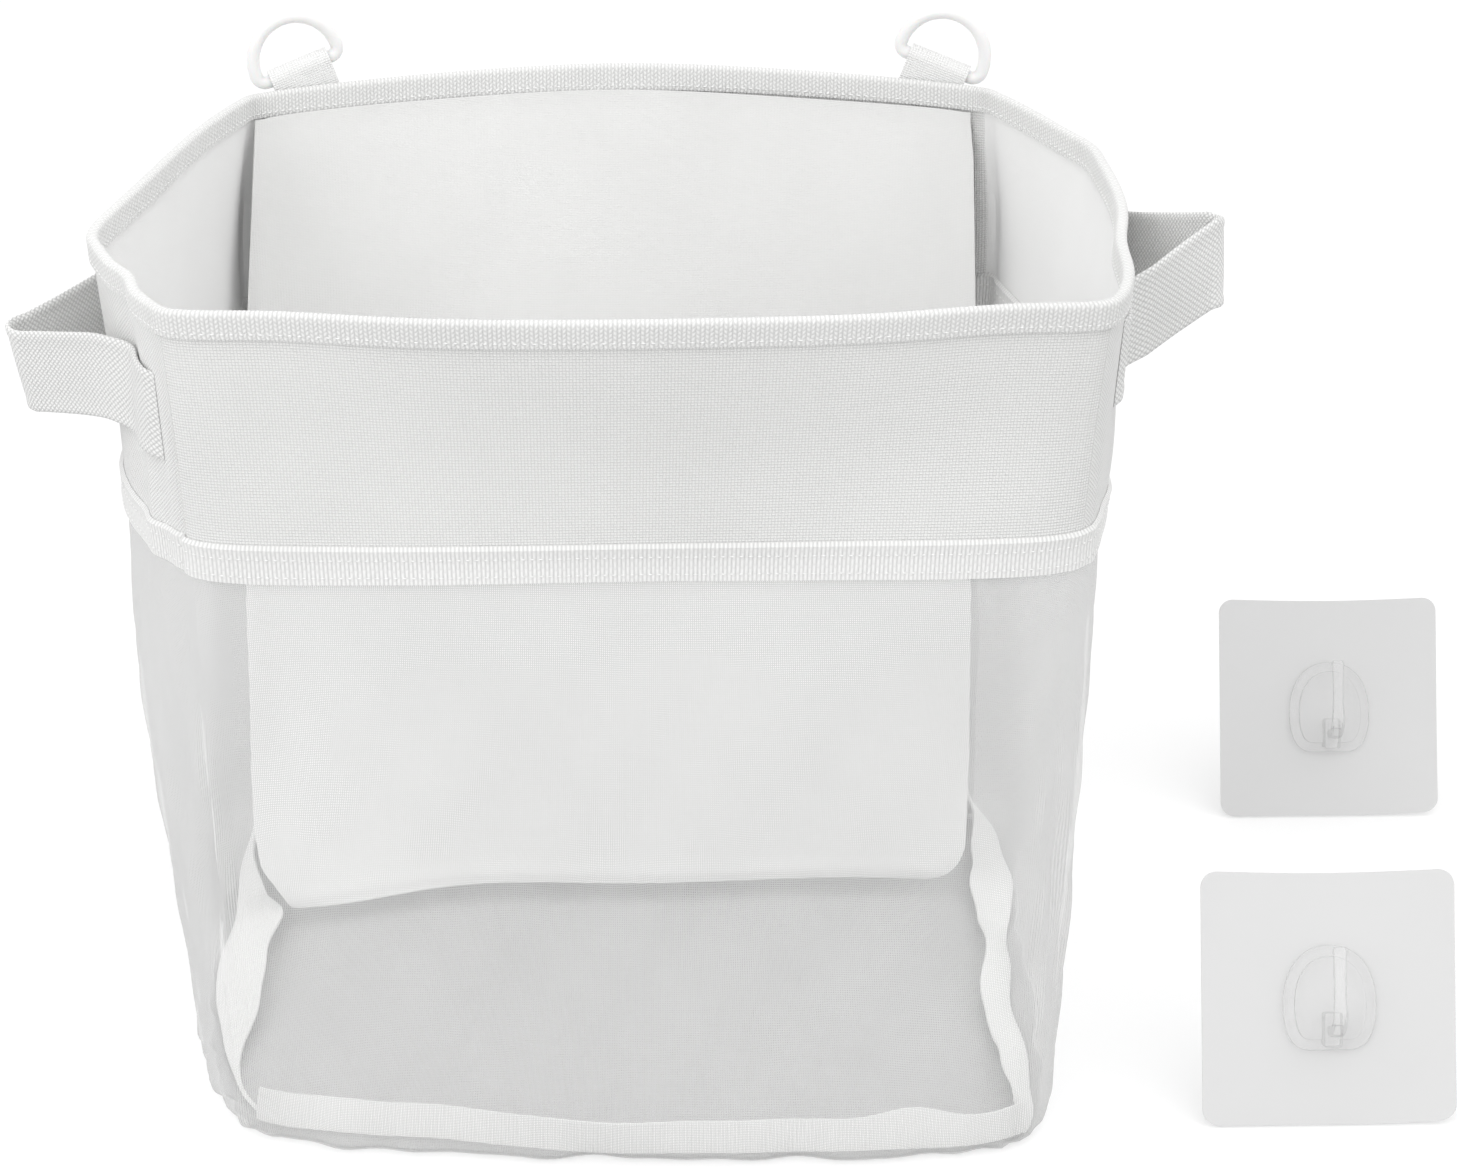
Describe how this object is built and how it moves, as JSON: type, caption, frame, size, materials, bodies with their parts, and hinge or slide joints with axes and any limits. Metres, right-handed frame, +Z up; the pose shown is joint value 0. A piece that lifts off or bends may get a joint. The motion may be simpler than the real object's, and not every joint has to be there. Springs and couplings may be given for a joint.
{
  "type": "bath toy organizer",
  "caption": "Soft open bin with a woven band, sheer mesh walls and floor, strap handles, hanging back panel and rings, with clear stick-on hooks to hang it from a wall.",
  "frame": {"origin": "middle of the floor's underside, on the surface the bin stands on", "axes": "+X to the right, -Y to the front, +Z up"},
  "size_m": [0.5565, 0.2814, 0.3452],
  "materials": {
    "band_cloth": "coarse plain weave, white",
    "net": "sheer fine mesh, white",
    "tape": "ribbed binding tape, white",
    "panel_cloth": "fine plain weave, white",
    "webbing": "twill webbing, white",
    "board": "matte sheet",
    "ring_plastic": "moulded, satin white",
    "clear_sheet": "clear, slightly milky",
    "clear_hook": "clear, moulded"
  },
  "bodies": {
    "bin": {"front_band": "band_cloth", "right_band": "band_cloth", "back_band": "band_cloth", "left_band": "band_cloth", "front_mesh": "net", "right_mesh": "net", "back_mesh": "net", "left_mesh": "net", "floor_mesh": "net", "rim_binding": "tape", "band_tape_outer": "tape", "band_tape_inner": "tape", "front_floor_tape": "tape", "right_floor_tape": "tape", "back_floor_tape": "tape", "left_floor_tape": "tape", "left_handle_front_end": "webbing", "left_handle_back_end": "webbing", "right_handle_front_end": "webbing", "right_handle_back_end": "webbing", "left_ring_tab": "webbing", "right_ring_tab": "webbing"},
    "back_panel": {"back_panel_board": "board", "back_panel_front_cover": "panel_cloth", "back_panel_rear_cover": "panel_cloth"},
    "left_handle": {"left_handle_loop": "webbing"},
    "right_handle": {"right_handle_loop": "webbing"},
    "left_ring": {"left_d_ring": "ring_plastic"},
    "right_ring": {"right_d_ring": "ring_plastic"},
    "upper_hook": {"upper_hook_sheet": "clear_sheet", "upper_hook_body": "clear_hook"},
    "lower_hook": {"lower_hook_sheet": "clear_sheet", "lower_hook_body": "clear_hook"}
  },
  "joints": [
    {"name": "back_panel_swing", "type": "hinge", "parent": "bin", "child": "back_panel", "pos_m": [0, 0.1135, 0.3105], "axis": [-1, 0, 0], "range_deg": [0, 25]},
    {"name": "left_handle_lift", "type": "hinge", "parent": "bin", "child": "left_handle", "pos_m": [-0.184, -0.032, 0.2905], "axis": [0, 1, 0], "range_deg": [0, 55]},
    {"name": "right_handle_lift", "type": "hinge", "parent": "bin", "child": "right_handle", "pos_m": [0.175, -0.028, 0.3025], "axis": [0, -1, 0], "range_deg": [0, 45]},
    {"name": "left_ring_swing", "type": "hinge", "parent": "bin", "child": "left_ring", "pos_m": [-0.12247, 0.12907, 0.322], "axis": [0.9202, 0.2173, 0.3256], "range_deg": [-150, 60]},
    {"name": "right_ring_swing", "type": "hinge", "parent": "bin", "child": "right_ring", "pos_m": [0.12247, 0.12907, 0.322], "axis": [0.9202, -0.2173, -0.3256], "range_deg": [-150, 60]},
    {"name": "upper_hook_lift", "type": "slide", "parent": "bin", "child": "upper_hook", "axis": [0, 0, 1], "range_m": [0, 0.12]},
    {"name": "lower_hook_lift", "type": "slide", "parent": "bin", "child": "lower_hook", "axis": [0, 0, 1], "range_m": [0, 0.12]}
  ]
}
